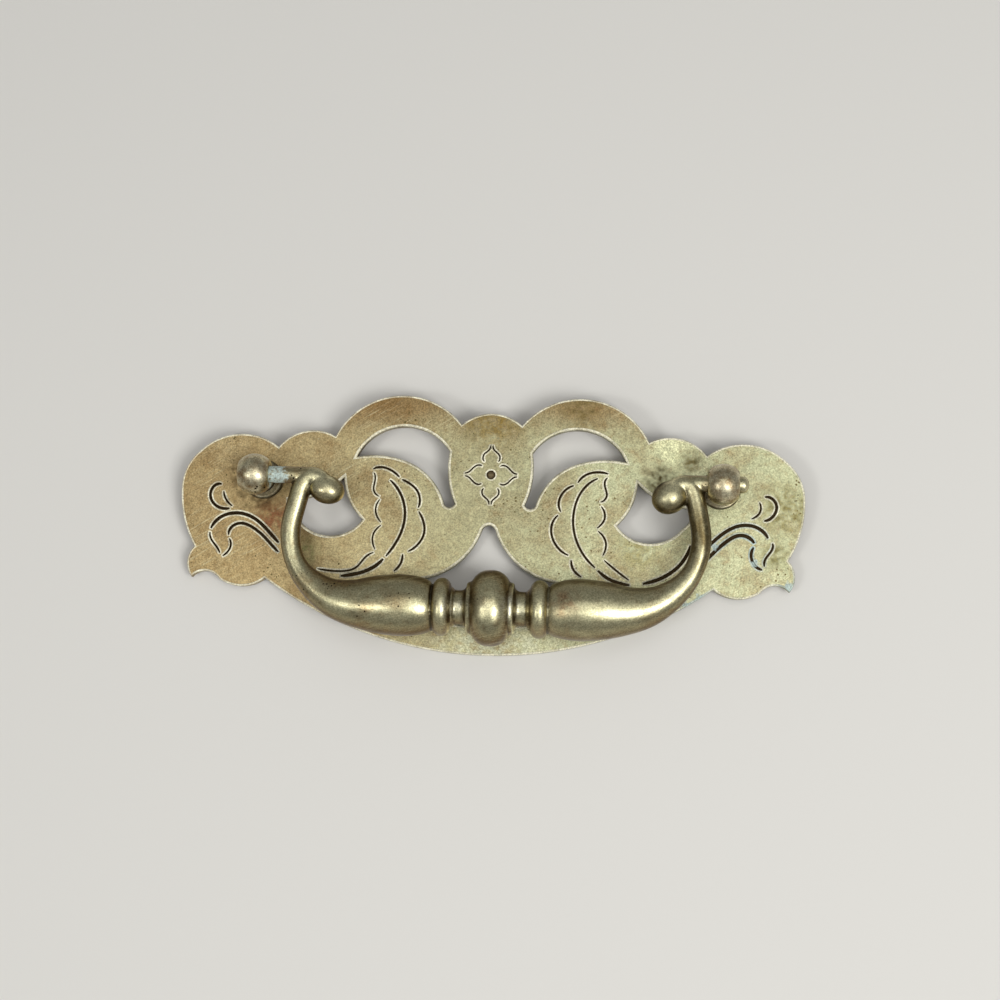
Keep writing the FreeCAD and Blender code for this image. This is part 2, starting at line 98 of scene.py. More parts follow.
# Places on the bail: salts on its left pin, then the crests that hands rub bare and that are
# painted paler as a highlight (the curled ends and the knob), the necks in which polish has
# dried, patches of tone, and painted shade on two left flanks and on the right arm
LEFT_PIN_SALTS = (-40.4 * MM, 0.0, 11.0 * MM)
RUBBED_AND_HIGHLIT_CRESTS = (
    (-30.6 * MM, 0.2 * MM, 12.6 * MM),
    (34.6 * MM, 0.2 * MM, 12.6 * MM),
    (0.6 * MM, -24.3 * MM, 18.0 * MM),
)
POLISHED_NECKS = (
    (-5.0 * MM, -24.3 * MM, 14.6 * MM),
    (6.2 * MM, -24.3 * MM, 14.6 * MM),
)
PAINTED_SHADE_FLANKS = (
    (-3.0 * MM, -24.3 * MM, 15.5 * MM),
    (32.0 * MM, 0.2 * MM, 11.3 * MM),
)
PALE_BELLY = (21.0 * MM, -22.5 * MM, 12.5 * MM)
REDDISH_BELLY = (15.0 * MM, -22.6 * MM, 16.5 * MM)
PAINTED_SHADE_ARM = (39.0 * MM, -9.5 * MM, 10.5 * MM)

# How far apart two heights may be and count as the same, and how far off a face's
# plane a point is clear of it
NEAR = 0.01 * MM
CLEAR = 0.1 * MM
# How far the steep side of a cut runs in on its way down, so nearly upright
STEEP_SIDE = 0.04 * MM

# Where the pull touches the floor below its posts, across from the plate's lowest edge
HEEL = -2.8 * MM
# Softboxes, all aimed at the origin: place, width and height in metres, power in watts
LAMPS = {
    "key_softbox": ((0.36, -0.22, 0.66), 0.3, 0.3, 2.7),
    "fill_softbox": ((-0.36, -0.2, 0.65), 0.16, 0.16, 0.9),
    "overhead_softbox": ((0.12, 0.02, 0.8), 0.62, 0.7, 1.55),
}
# The photograph's viewpoint, fitted to the plate's outline
CAMERA_PLACE = (23.94 * MM, -38.43 * MM, 328.58 * MM)
CAMERA_TURN = tuple(math.radians(angle) for angle in (6.292, 3.643, 1.761))


# Sizes and colours that a user would change

class PlateSettings(bpy.types.PropertyGroup):
    rim_round: bpy.props.FloatProperty(
        name="Rim rounding",
        description="How far the plate's outline and openings are eased by tumbling",
        default=0.3 * MM, min=0.02 * MM, max=0.4 * MM, precision=5, unit="LENGTH")
    # The lip is painted pale as a highlight by the plate's finish
    lip_width: bpy.props.FloatProperty(
        name="Lip width",
        description="Width of the rubbed lip inside each edge of an engraved line",
        default=0.07 * MM, min=0.02 * MM, max=0.16 * MM, precision=5, unit="LENGTH")
    burr_width: bpy.props.FloatProperty(
        name="Burr width",
        description="Width of the burr that the graver pushed up along each edge of a cut",
        default=0.28 * MM, min=0.02 * MM, max=0.4 * MM, precision=5, unit="LENGTH")
    burr_height: bpy.props.FloatProperty(
        name="Burr height",
        description="How far the burr stands above the plate's front",
        default=0.05 * MM, min=0.01 * MM, max=0.1 * MM, precision=5, unit="LENGTH")
    lip_drop: bpy.props.FloatProperty(
        name="Lip drop",
        description="How far the rubbed lip falls before the cut goes down to its floor",
        default=0.09 * MM, min=0.04 * MM, max=0.2 * MM, precision=5, unit="LENGTH")


class BailSettings(bpy.types.PropertyGroup):
    cast_grain: bpy.props.FloatProperty(
        name="Cast grain",
        description="Size of the grid on which the cast bow is fused into one skin",
        default=0.23 * MM, min=0.22 * MM, max=0.6 * MM, precision=5, unit="LENGTH")
    polish_passes: bpy.props.IntProperty(
        name="Polishing passes",
        description="How often the bow's skin is smoothed after casting",
        default=4, min=0, max=12)


class PostSettings(bpy.types.PropertyGroup):
    turned_grain: bpy.props.FloatProperty(
        name="Turned grain",
        description="Size of the grid on which a post is worn into one skin",
        default=0.13 * MM, min=0.1 * MM, max=0.4 * MM, precision=5, unit="LENGTH")
    worn_passes: bpy.props.IntProperty(
        name="Wearing passes",
        description="How often a post's filed edges are smoothed by handling",
        default=5, min=0, max=20)


class FinishSettings(bpy.types.PropertyGroup):
    plate_colour: bpy.props.StringProperty(
        name="Plate brass", description="Colour of the plate's satin brass", default="#B4B590")
    plate_warm: bpy.props.StringProperty(
        name="Warm plate brass", description="Browner tone of the plate's left half",
        default="#B39D70")
    bail_colour: bpy.props.StringProperty(
        name="Bail brass", description="Colour of the bail's rubbed brass", default="#BFBA95")
    post_colour: bpy.props.StringProperty(
        name="Post brass", description="Colour of the tarnished posts", default="#CBC3A4")
    worn_colour: bpy.props.StringProperty(
        name="Worn brass", description="Pale bare brass of the edges and crests",
        default="#E3DDB4")
    # Pale colour of the highlight painted on the plate's edges, lips and burrs
    edge_highlight_colour: bpy.props.StringProperty(
        name="Dried polish", description="Chalky polish left on the edges and in the lips",
        default="#F0EBD0")
    tarnish_colour: bpy.props.StringProperty(
        name="Tarnish", description="Warm brown of the thin oxide skin", default="#86683F")
    patina_colour: bpy.props.StringProperty(
        name="Patina", description="Near black antiquing left in the cuts", default="#2E2416")
    verdigris_colour: bpy.props.StringProperty(
        name="Verdigris", description="Pale blue-green salts of old brass", default="#BCCDC6")


class StageSettings(bpy.types.PropertyGroup):
    floor_colour: bpy.props.StringProperty(
        name="Floor", description="Colour of the plain floor", default="#DEDCD6")
    lens: bpy.props.FloatProperty(
        name="Lens", description="Focal length on a 36 mm wide frame, in millimetres",
        default=61.2, min=20, max=200)


# Small helpers

def colour(code):
    """An sRGB hex value as linear red, green, blue and alpha."""
    channels = []
    for place in (1, 3, 5):
        value = int(code[place:place + 2], 16) / 255
        channels.append(value / 12.92 if value <= 0.04045 else ((value + 0.055) / 1.055) ** 2.4)
    return (*channels, 1.0)


def add(tree, kind, inputs=None, stops=None, **settings):
    """Adds a node, with its settings, its ramp stops and its values or links."""
    made = tree.nodes.new(kind)
    for name, value in settings.items():
        setattr(made, name, value)
    if stops:
        elements = made.color_ramp.elements
        while len(elements) < len(stops):
            elements.new(0.5)
        for element, (place, shade) in zip(elements, stops):
            element.position = place
            element.color = shade
    for name, value in (inputs or {}).items():
        if isinstance(value, bpy.types.NodeSocket):
            tree.links.new(value, made.inputs[name])
        else:
            made.inputs[name].default_value = value
    return made


def only(piece):
    """Leaves piece alone selected and active, in object mode."""
    if bpy.context.mode != "OBJECT":
        bpy.ops.object.mode_set(mode="OBJECT")
    bpy.ops.object.select_all(action="DESELECT")
    piece.select_set(True)
    bpy.context.view_layer.objects.active = piece


def merged_copy(node, name):
    """A CAD node's shape as a new piece, its loose triangles joined."""
    piece = bpy.data.objects.new(name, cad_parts[node].data.copy())
    piece.data.name = name
    piece.data.materials.clear()
    bpy.context.scene.collection.objects.link(piece)
    only(piece)
    if piece.data.has_custom_normals:
        bpy.ops.mesh.customdata_custom_splitnormals_clear()
    bpy.ops.object.mode_set(mode="EDIT")
    bpy.ops.mesh.select_all(action="SELECT")
    bpy.ops.mesh.remove_doubles(threshold=0.001 * MM)
    bpy.ops.object.mode_set(mode="OBJECT")
    return piece


def select_in(piece, kind, wanted):
    """Goes to edit mode with only those verts, edges or faces selected that are wanted."""
    only(piece)
    bpy.ops.object.mode_set(mode="EDIT")
    modes = tuple(kind == each for each in ("verts", "edges", "faces"))
    bpy.context.tool_settings.mesh_select_mode = modes
    bpy.ops.mesh.select_all(action="DESELECT")
    shape = bmesh.from_edit_mesh(piece.data)
    count = 0
    for part in getattr(shape, kind):
        if wanted(part):
            part.select_set(True)
            count += 1
    bmesh.update_edit_mesh(piece.data)
    if count == 0:
        raise RuntimeError("%s has no such %s" % (piece.name, kind))


def level(edge, height):
    """Both ends of the edge lie at a height."""
    return all(abs(vert.co.z - height) < NEAR for vert in edge.verts)


def lowest(face):
    """The height of a face's lowest corner."""
    return min(vert.co.z for vert in face.verts)


def stand_back(line, reach):
    """Moves a closed line's points outwards, so that a bead on it leaves the cut open."""
    places = [point.co.xy for point in line.points]
    turn = sum(here.cross(there) for here, there in zip(places, places[1:] + places[:1]))
    side = math.copysign(reach, turn)
    for index, point in enumerate(line.points):
        along = (places[(index + 1) % len(places)] - places[index - 1]).normalized()
        point.co.x += side * along.y
        point.co.y -= side * along.x


def mark_edge_highlight(piece, strength):
    """Writes a strength, named worn, on the faces that a bevel has just left selected; the
    plate's finish paints these faces pale as a highlight.
    """
    bpy.ops.object.mode_set(mode="OBJECT")
    worn = piece.data.attributes.get("worn") or piece.data.attributes.new("worn", "FLOAT", "FACE")
    for face in piece.data.polygons:
        if face.select:
            worn.data[face.index].value = strength


def even_shading(piece, angle):
    """Smooth shading in which the broad flat faces keep their own normal."""
    only(piece)
    bpy.ops.object.shade_smooth_by_angle(angle=math.radians(angle))
    piece.modifiers.new("even", "WEIGHTED_NORMAL").keep_sharp = True
    bpy.ops.object.modifier_apply(modifier="even")


def fuse(piece, grain, passes):
    """Fuses a piece into one skin on a fine grid and smooths it."""
    skin = piece.modifiers.new("skin", "REMESH")
    skin.mode = "VOXEL"
    skin.voxel_size = grain
    polish = piece.modifiers.new("polish", "SMOOTH")
    polish.factor = 0.5
    polish.iterations = passes
    only(piece)
    for name in ("skin", "polish"):
        bpy.ops.object.modifier_apply(modifier=name)
    bpy.ops.object.shade_smooth()


def find_hollows(piece, passes):
    """Paints where the skin is hollow dark and where it is proud pale, as grime gathers
    in creases and handling rubs the crests."""
    only(piece)
    piece.data.color_attributes.new("rubbed", "BYTE_COLOR", "CORNER")
    piece.data.color_attributes.active_color = piece.data.color_attributes["rubbed"]
    bpy.ops.paint.vertex_color_dirt(blur_strength=1.0, blur_iterations=passes,
                                    clean_angle=math.pi, dirt_angle=0.0, normalize=True)
    # The values are spread out so that 0 is the deepest crease, 0.5 the plain skin and
    # 1 the sharpest crest
    paint = piece.data.color_attributes["rubbed"].data
    shades = [corner.color[0] for corner in paint]
    ranked = sorted(shades)
    deep, plain, crest = (ranked[int(share * (len(ranked) - 1))] for share in (0.01, 0.5, 0.99))
    for corner, shade in zip(paint, shades):
        reach = (deep if shade < plain else crest) - plain
        value = 0.5 + math.copysign(0.5, reach) * min((shade - plain) / reach, 1.0)
        corner.color = (value, value, value, 1.0)


def finish_piece(piece, body, node, material):
    piece.data.materials.append(material)
    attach(piece, body)
    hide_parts(node)


# Finishes

def brass(name):
    """A new metal finish: its material, node tree and place on the piece."""
    material = bpy.data.materials.new(name)
    material.use_nodes = True
    tree = material.node_tree
    tree.nodes["Principled BSDF"].inputs["Metallic"].default_value = 1.0
    return material, tree, add(tree, "ShaderNodeTexCoord").outputs["Object"]


def stain(tree, place, under, over, size, start, full, centre=None, reach=0.0):
    """Lays a colour over another in clouds of a size, thin at start and thick at full.
    A centre and a reach keep it to one place."""
    cloud = add(tree, "ShaderNodeTexNoise", {"Vector": place, "Scale": 1 / size, "Detail": 4.0,
                                             "Roughness": 0.6})
    amount = add(tree, "ShaderNodeMapRange", {"Value": cloud.outputs["Fac"], "From Min": start,
                                              "From Max": full}).outputs["Result"]
    if centre:
        away = add(tree, "ShaderNodeVectorMath", {0: place, 1: centre}, operation="DISTANCE")
        close = add(tree, "ShaderNodeMapRange", {"Value": away.outputs["Value"],
                                                 "From Min": reach, "From Max": 0.3 * reach})
        amount = add(tree, "ShaderNodeMath", {0: amount, 1: close.outputs["Result"]},
                     operation="MULTIPLY").outputs[0]
    return add(tree, "ShaderNodeMix", {0: amount, 6: under, 7: colour(over)},
               data_type="RGBA").outputs[2]


def salts(tree, place, under, over, centre, reach, chalk=None):
    """Pale chalky salts of old brass at one place. Gives the colour and where it is chalk."""
    cloud = add(tree, "ShaderNodeTexNoise", {"Vector": place, "Scale": 1 / (0.7 * MM),
                                             "Detail": 4.0, "Roughness": 0.6})
    away = add(tree, "ShaderNodeVectorMath", {0: place, 1: centre}, operation="DISTANCE")
    close = add(tree, "ShaderNodeMapRange", {"Value": away.outputs["Value"],
                                             "From Min": reach, "From Max": 0.4 * reach,
                                             "To Min": -0.3, "To Max": 0.12})
    thick = add(tree, "ShaderNodeMath", {0: cloud.outputs["Fac"], 1: close.outputs["Result"]},
                operation="ADD")
    amount = add(tree, "ShaderNodeMapRange", {"Value": thick.outputs[0], "From Min": 0.45,
                                              "From Max": 0.62, "To Max": 0.9})
    surface = add(tree, "ShaderNodeMix", {0: amount.outputs["Result"], 6: under,
                                          7: colour(over)}, data_type="RGBA").outputs[2]
    both = amount.outputs["Result"]
    if chalk:
        both = add(tree, "ShaderNodeMath", {0: chalk, 1: both}, operation="MAXIMUM").outputs[0]
    return surface, both


def pits(tree, place, under, over, spacing, share):
    """Small dark pits, a spacing apart, that cover a share of it each, in patches."""
    spots = add(tree, "ShaderNodeTexVoronoi", {"Vector": place, "Scale": 1 / spacing})
    patch = add(tree, "ShaderNodeTexNoise", {"Vector": place, "Scale": 1 / (7 * MM)})
    wide = add(tree, "ShaderNodeMapRange", {"Value": patch.outputs["Fac"], "From Min": 0.42,
                                            "From Max": 0.68, "To Max": share})
    depth = add(tree, "ShaderNodeMath", {0: spots.outputs["Distance"],
                                         1: wide.outputs["Result"]}, operation="LESS_THAN")
    return add(tree, "ShaderNodeMix", {0: depth.outputs[0], 6: under, 7: colour(over)},
               data_type="RGBA").outputs[2]


def scratches(tree, place, under, over, angle, amount):
    """Hair lines of rubbing at an angle, about 5 mm long, in patches of 12 mm. Real ones
    are 0.02 mm wide; they are drawn 0.2 mm wide to show."""
    along = add(tree, "ShaderNodeMapping", {"Vector": place,
                                            "Rotation": (0, 0, math.radians(angle)),
                                            "Scale": (5 * MM, 0.2 * MM, 5 * MM)},
                vector_type="TEXTURE")
    hair = add(tree, "ShaderNodeTexNoise", {"Vector": along.outputs["Vector"], "Scale": 1.0,
                                            "Detail": 2.0})
    patch = add(tree, "ShaderNodeTexNoise", {"Vector": place, "Scale": 1 / (12 * MM)})
    wide = add(tree, "ShaderNodeMapRange", {"Value": patch.outputs["Fac"], "From Min": 0.42,
                                            "From Max": 0.6, "To Max": amount})
    bright = add(tree, "ShaderNodeMapRange", {"Value": hair.outputs["Fac"], "From Min": 0.55,
                                              "From Max": 0.75, "To Max": wide.outputs["Result"]})
    return add(tree, "ShaderNodeMix", {0: bright.outputs["Result"], 6: under, 7: colour(over)},
               data_type="RGBA").outputs[2]


def handled(tree, under, grime, crest):
    """Grime in the creases and bare metal on the crests, from the painted hollows."""
    rubbed = add(tree, "ShaderNodeAttribute", attribute_name="rubbed").outputs["Fac"]
    deep = add(tree, "ShaderNodeMapRange", {"Value": rubbed, "From Min": 0.28,
                                            "From Max": 0.0, "To Max": 0.85})
    dirty = add(tree, "ShaderNodeMix", {0: deep.outputs["Result"], 6: under, 7: colour(grime)},
                data_type="RGBA")
    high = add(tree, "ShaderNodeMapRange", {"Value": rubbed, "From Min": 0.6,
                                            "From Max": 1.0, "To Max": 0.6})
    return add(tree, "ShaderNodeMix", {0: high.outputs["Result"], 6: dirty.outputs[2],
                                       7: colour(crest)}, data_type="RGBA").outputs[2]


def satin(tree, place, surface, chalk, smooth, dull, speck):
    """Wires the colour with fine specks, an uneven satin and a fine bump. The specks
    of a tumbled skin are 0.05 mm; they are drawn 0.3 mm across to show. Chalk on the
    metal, and the plate's painted pale edge highlight, is dull and no metal."""
    shader = tree.nodes["Principled BSDF"]
    metal = add(tree, "ShaderNodeMapRange", {"Value": chalk, "To Min": 1.0, "To Max": 0.1})
    tree.links.new(metal.outputs["Result"], shader.inputs["Metallic"])
    grain = add(tree, "ShaderNodeTexNoise", {"Vector": place, "Scale": 1 / (0.3 * MM),
                                             "Detail": 2.0, "Roughness": 0.7})
    tone = add(tree, "ShaderNodeMapRange", {"Value": grain.outputs["Fac"], "From Min": 0.3,
                                            "From Max": 0.7, "To Min": 1 - speck,
                                            "To Max": 1 + 0.8 * speck})
    specked = add(tree, "ShaderNodeMix", {0: 1.0, 6: surface, 7: tone.outputs["Result"]},
                  data_type="RGBA", blend_type="MULTIPLY")
    tree.links.new(specked.outputs[2], shader.inputs["Base Color"])
    film = add(tree, "ShaderNodeTexNoise", {"Vector": place, "Scale": 1 / (4 * MM),
                                            "Detail": 5.0})
    gloss = add(tree, "ShaderNodeMapRange", {"Value": film.outputs["Fac"], "From Min": 0.35,
                                             "From Max": 0.65, "To Min": smooth,
                                             "To Max": dull})
    rough = add(tree, "ShaderNodeMix", {0: chalk, 2: gloss.outputs["Result"], 3: 0.7})
    tree.links.new(rough.outputs[0], shader.inputs["Roughness"])
    bump = add(tree, "ShaderNodeBump", {"Height": grain.outputs["Fac"], "Strength": 0.35,
                                        "Distance": 0.04 * MM})
    tree.links.new(bump.outputs["Normal"], shader.inputs["Normal"])


def sheet_finish(finish):
    """Sheet brass, antiqued and satin rubbed: to the eye a soft metal, browner on the left
    and paler and greener on the right, near black in the cuts, painted pale on the edges as a
    highlight and painted dark beside the posts and the right curl as shadow."""
    material, tree, place = brass("satin_antiqued_sheet_brass")
    axes = add(tree, "ShaderNodeSeparateXYZ", {"Vector": place})
    drift = add(tree, "ShaderNodeMapRange", {"Value": axes.outputs["X"], "From Min": -45 * MM,
                                             "From Max": 12 * MM})
    surface = add(tree, "ShaderNodeMix", {0: drift.outputs["Result"],
                                          6: colour(finish.plate_warm),
                                          7: colour(finish.plate_colour)},
                  data_type="RGBA").outputs[2]
    surface = stain(tree, place, surface, finish.tarnish_colour, size=9 * MM,
                    start=0.47, full=0.85)
    surface = stain(tree, place, surface, finish.tarnish_colour, size=1.6 * MM,
                    start=0.5, full=1.0)
    top = add(tree, "ShaderNodeMapRange", {"Value": axes.outputs["Y"], "From Min": 8 * MM,
                                           "From Max": 15 * MM, "To Max": 0.75})
    surface = add(tree, "ShaderNodeMix", {0: top.outputs["Result"], 6: surface,
                                          7: colour(finish.tarnish_colour)},
                  data_type="RGBA").outputs[2]
    surface = scratches(tree, place, surface, finish.worn_colour, angle=32, amount=0.5)
    surface = scratches(tree, place, surface, finish.tarnish_colour, angle=80, amount=0.45)
    # Stains, and patches of painted shadow beside the posts and the right curl
    for across, up, reach, over in PLATE_STAINS_AND_SHADOWS:
        surface = stain(tree, place, surface, over, size=1.2 * MM, start=0.35, full=0.6,
                        centre=(across * MM, up * MM, PLATE_FRONT), reach=reach * MM)
    surface = pits(tree, place, surface, "#6B5F3E", spacing=1.0 * MM, share=0.22)
    # The back has never been rubbed, and has gone brown
    back = add(tree, "ShaderNodeMapRange", {"Value": axes.outputs["Z"], "From Min": 0.3 * MM,
                                            "From Max": 0.02 * MM, "To Max": 0.7})
    surface = add(tree, "ShaderNodeMix", {0: back.outputs["Result"], 6: surface,
                                          7: colour("#7A6548")}, data_type="RGBA").outputs[2]
    # Patina lies in the engraved lines, from just below the plate's front to their floor
    below = add(tree, "ShaderNodeMapRange", {"Value": axes.outputs["Z"],
                                             "From Min": PLATE_FRONT,
                                             "From Max": PLATE_FRONT - 1.0 * MM})
    none, full = colour("#000000"), colour("#FFFFFF")
    cut = add(tree, "ShaderNodeValToRGB", {"Fac": below.outputs["Result"]},
              stops=((0.1, none), (0.2, full), (0.4, full), (0.5, none)))
    surface = add(tree, "ShaderNodeMix", {0: cut.outputs["Color"], 6: surface,
                                          7: colour(finish.patina_colour)},
                  data_type="RGBA").outputs[2]
    surface = stain(tree, place, surface, "#6B5F48", size=1.5 * MM, start=0.2, full=0.5,
                    centre=FLOWER_EYE, reach=0.8 * MM)
    # The edges, the lips of the cuts and the burrs are painted pale, chalky and dull as a
    # highlight along them, and are blue-green at three places where salts have grown on them
    polish = colour(finish.edge_highlight_colour)
    for across, up, reach in BLUE_GREEN_EDGE_SALTS:
        polish = stain(tree, place, polish, finish.verdigris_colour, size=2 * MM, start=0.2,
                       full=0.5, centre=(across * MM, up * MM, PLATE_FRONT),
                       reach=reach * MM)
    worn = add(tree, "ShaderNodeAttribute", attribute_name="worn")
    cling = add(tree, "ShaderNodeTexNoise", {"Vector": place, "Scale": 1 / (2.5 * MM)})
    uneven = add(tree, "ShaderNodeMapRange", {"Value": cling.outputs["Fac"], "From Min": 0.35,
                                              "From Max": 0.6, "To Min": 0.45})
    chalk = add(tree, "ShaderNodeMath", {0: worn.outputs["Fac"], 1: uneven.outputs["Result"]},
                operation="MULTIPLY").outputs[0]
    surface = add(tree, "ShaderNodeMix", {0: chalk, 6: surface, 7: polish},
                  data_type="RGBA").outputs[2]
    for across, up, reach in PLATE_SALTS:
        surface, chalk = salts(tree, place, surface, finish.verdigris_colour,
                               (across * MM, up * MM, PLATE_FRONT), reach * MM, chalk)
    satin(tree, place, surface, chalk, smooth=0.34, dull=0.48, speck=0.42)
    return material


def turned_finish(finish):
    """Turned brass, long tarnished: to the eye a brown metal with a pink cast, scratched
    bright here and there, with grime and painted shade at its foot and salts on its left ball."""
    material, tree, place = brass("tarnished_turned_brass")
    surface = stain(tree, place, colour(finish.post_colour), finish.tarnish_colour,
                    size=2.2 * MM, start=0.4, full=0.7)
    surface = stain(tree, place, surface, finish.worn_colour, size=1.3 * MM, start=0.56,
                    full=0.8)
    surface = scratches(tree, place, surface, finish.worn_colour, angle=60, amount=0.6)
    surface = pits(tree, place, surface, finish.patina_colour, spacing=0.9 * MM, share=0.3)
    surface = handled(tree, surface, finish.patina_colour, finish.worn_colour)
    # Grime has settled round the collar at the foot, and the foot is darkened further as painted
    # shade under the ball
    axes = add(tree, "ShaderNodeSeparateXYZ", {"Vector": place})
    foot = add(tree, "ShaderNodeMapRange", {"Value": axes.outputs["Z"], "From Min": 5 * MM,
                                            "From Max": 2.2 * MM, "To Max": 0.75})
    surface = add(tree, "ShaderNodeMix", {0: foot.outputs["Result"], 6: surface,
                                          7: colour(finish.patina_colour)},
                  data_type="RGBA").outputs[2]
    surface, chalk = salts(tree, place, surface, finish.verdigris_colour, LEFT_POST_SALTS,
                           reach=2.6 * MM)
    satin(tree, place, surface, chalk, smooth=0.28, dull=0.42, speck=0.4)
    return material


def cast_finish(finish):
    """Cast brass, antiqued and rubbed by hands: to the eye a soft glossy metal, pale on its
    front and brown on its flanks, partly relieved antiquing and partly painted shade, with
    painted highlights on its crests and painted shade on two left flanks and its right arm, and
    dark in the creases of its turnings."""
    material, tree, place = brass("rubbed_cast_brass")
    # Towards the flanks, by the way the skin faces, the brass turns darker brown: partly the
    # relieved antiquing, partly painted shade
    normal = add(tree, "ShaderNodeTexCoord").outputs["Normal"]
    facing = add(tree, "ShaderNodeSeparateXYZ", {"Vector": normal})
    flank = add(tree, "ShaderNodeMapRange", {"Value": facing.outputs["Z"], "From Min": 0.92,
                                             "From Max": 0.45, "To Max": 0.95})
    surface = add(tree, "ShaderNodeMix", {0: flank.outputs["Result"],
                                          6: colour(finish.bail_colour),
                                          7: colour("#6F5A36")},
                  data_type="RGBA").outputs[2]
    surface = stain(tree, place, surface, finish.tarnish_colour, size=7 * MM, start=0.5,
                    full=0.85)
    surface = stain(tree, place, surface, finish.tarnish_colour, size=1.5 * MM, start=0.52,
                    full=1.0)
    surface = scratches(tree, place, surface, finish.worn_colour, angle=15, amount=0.4)
    surface = pits(tree, place, surface, finish.patina_colour, spacing=1.0 * MM, share=0.2)
    surface = handled(tree, surface, finish.patina_colour, finish.worn_colour)
    surface = stain(tree, place, surface, finish.bail_colour, size=3 * MM, start=0.3,
                    full=0.9, centre=PALE_BELLY, reach=13 * MM)
    # Painted shade darkens the right arm
    surface = stain(tree, place, surface, "#6A5E40", size=3 * MM, start=0.1, full=0.5,
                    centre=PAINTED_SHADE_ARM, reach=9 * MM)
    surface = stain(tree, place, surface, "#94704F", size=2 * MM, start=0.35, full=0.6,
                    centre=REDDISH_BELLY, reach=4.5 * MM)
    # The crests are worn bare by hands, and are painted paler still as a highlight
    for crest in RUBBED_AND_HIGHLIT_CRESTS:
        surface = stain(tree, place, surface, finish.worn_colour, size=2 * MM, start=0.25,
                        full=0.6, centre=crest, reach=3.6 * MM)
    for neck in POLISHED_NECKS:
        surface = stain(tree, place, surface, "#D5D2BF", size=1.2 * MM, start=0.3, full=0.65,
                        centre=neck, reach=3.4 * MM)
    # Painted shade on the left-facing flanks of the knob and of the right curl
    for left in PAINTED_SHADE_FLANKS:
        surface = stain(tree, place, surface, "#4A3C22", size=2 * MM, start=0.2, full=0.5,
                        centre=left, reach=3.2 * MM)
    surface, chalk = salts(tree, place, surface, finish.verdigris_colour, LEFT_PIN_SALTS,
                           reach=4.4 * MM)
    satin(tree, place, surface, chalk, smooth=0.28, dull=0.42, speck=0.4)
    return material


# Steps of the backplate

def on_lip(face, drop):
    """The face is a lip: it falls gently from the plate's front by the lip's drop."""
    return 0.3 < face.normal.z < 0.9995 and lowest(face) > PLATE_FRONT - drop - NEAR


def shape_cuts(plate, settings):
    """Opens the engraved cuts and shapes them anew: a lip that falls gently, which the finish
    paints pale as a highlight, then a steep side down to the floor."""
    drop = settings.lip_drop
    below = PLATE_FRONT - CLEAR
    depth = PLATE_FRONT - max(face.center.z for face in plate.data.polygons
                              if face.normal.z > 0.999 and face.center.z < below)
    select_in(plate, "faces", lambda face: abs(face.normal.z) < 0.5
              and lowest(face) > PLATE_LOW.z + CLEAR
              or face.normal.z > 0.999 and face.calc_center_median().z < below)
    bpy.ops.mesh.delete(type="FACE")
    only(plate)
    uncut = len(plate.data.polygons)
    select_in(plate, "edges", lambda edge: edge.is_boundary)
    bpy.ops.mesh.fill_holes(sides=0)
    only(plate)
    select_in(plate, "faces", lambda face: face.index >= uncut)
    bpy.ops.mesh.inset(thickness=settings.lip_width, depth=-drop)
    bpy.ops.mesh.inset(thickness=STEEP_SIDE, depth=drop - depth)
    # The lips are painted pale as a highlight
    select_in(plate, "faces", lambda face: on_lip(face, drop))
    mark_edge_highlight(plate, 1.0)


def ease_rim(plate, settings):
    """Rounds the front edge of the plate's outline and of its openings."""
    select_in(plate, "edges", lambda edge: level(edge, PLATE_FRONT)
              and any(lowest(face) < PLATE_LOW.z + CLEAR for face in edge.link_faces))
    bpy.ops.mesh.bevel(offset=settings.rim_round, segments=3, profile=0.5, loop_slide=False)
    # The rounded rim is painted pale as a highlight, a little less than the lips
    mark_edge_highlight(plate, 0.8)


def raise_burr(plate, settings):
    """Lays a thin low bead along each edge of a cut, where the graver has pushed the
    brass up."""
    drop = settings.lip_drop
    select_in(plate, "edges", lambda edge: level(edge, PLATE_FRONT)
              and len({on_lip(face, drop) for face in edge.link_faces}) == 2)
    bpy.ops.mesh.duplicate()
    bpy.ops.mesh.separate(type="SELECTED")
    bpy.ops.object.mode_set(mode="OBJECT")
    burr = [piece for piece in bpy.context.selected_objects if piece != plate][0]
    only(burr)
    bpy.ops.object.convert(target="CURVE")
    for line in burr.data.splines:
        stand_back(line, settings.burr_width / 4)
    burr.data.bevel_depth = settings.burr_width / 2
    burr.data.bevel_resolution = 1
    bpy.ops.object.convert(target="MESH")
    bpy.ops.object.mode_set(mode="EDIT")
    bpy.ops.mesh.select_all(action="SELECT")
    bpy.ops.transform.resize(value=(1, 1, 2 * settings.burr_height / settings.burr_width),
                             center_override=(0, 0, PLATE_FRONT))
    bpy.ops.object.mode_set(mode="OBJECT")
    # The burr is painted pale as a highlight
    select_in(burr, "faces", lambda face: True)
    mark_edge_highlight(burr, 1.0)
    plate.select_set(True)
    bpy.context.view_layer.objects.active = plate
    bpy.ops.object.join()


# Pieces

class BAILPULL_OT_backplate(bpy.types.Operator):
    """Eases the engraved backplate's edges and gives it its satin brass"""
    bl_idname = "bail_pull.backplate"
    bl_label = "Backplate"

    def execute(self, context):
        settings = context.scene.bail_pull_plate
        finish = context.scene.bail_pull_finish
        plate = merged_copy("backplate", "backplate_dressed")
        select_in(plate, "faces", lambda face: abs(face.normal.z) > 0.999)
        bpy.ops.mesh.dissolve_limited(angle_limit=math.radians(0.5))
        only(plate)
        shape_cuts(plate, settings)
        ease_rim(plate, settings)
        raise_burr(plate, settings)
        even_shading(plate, 40)
        finish_piece(plate, "mounting", "backplate", sheet_finish(finish))
        return {"FINISHED"}


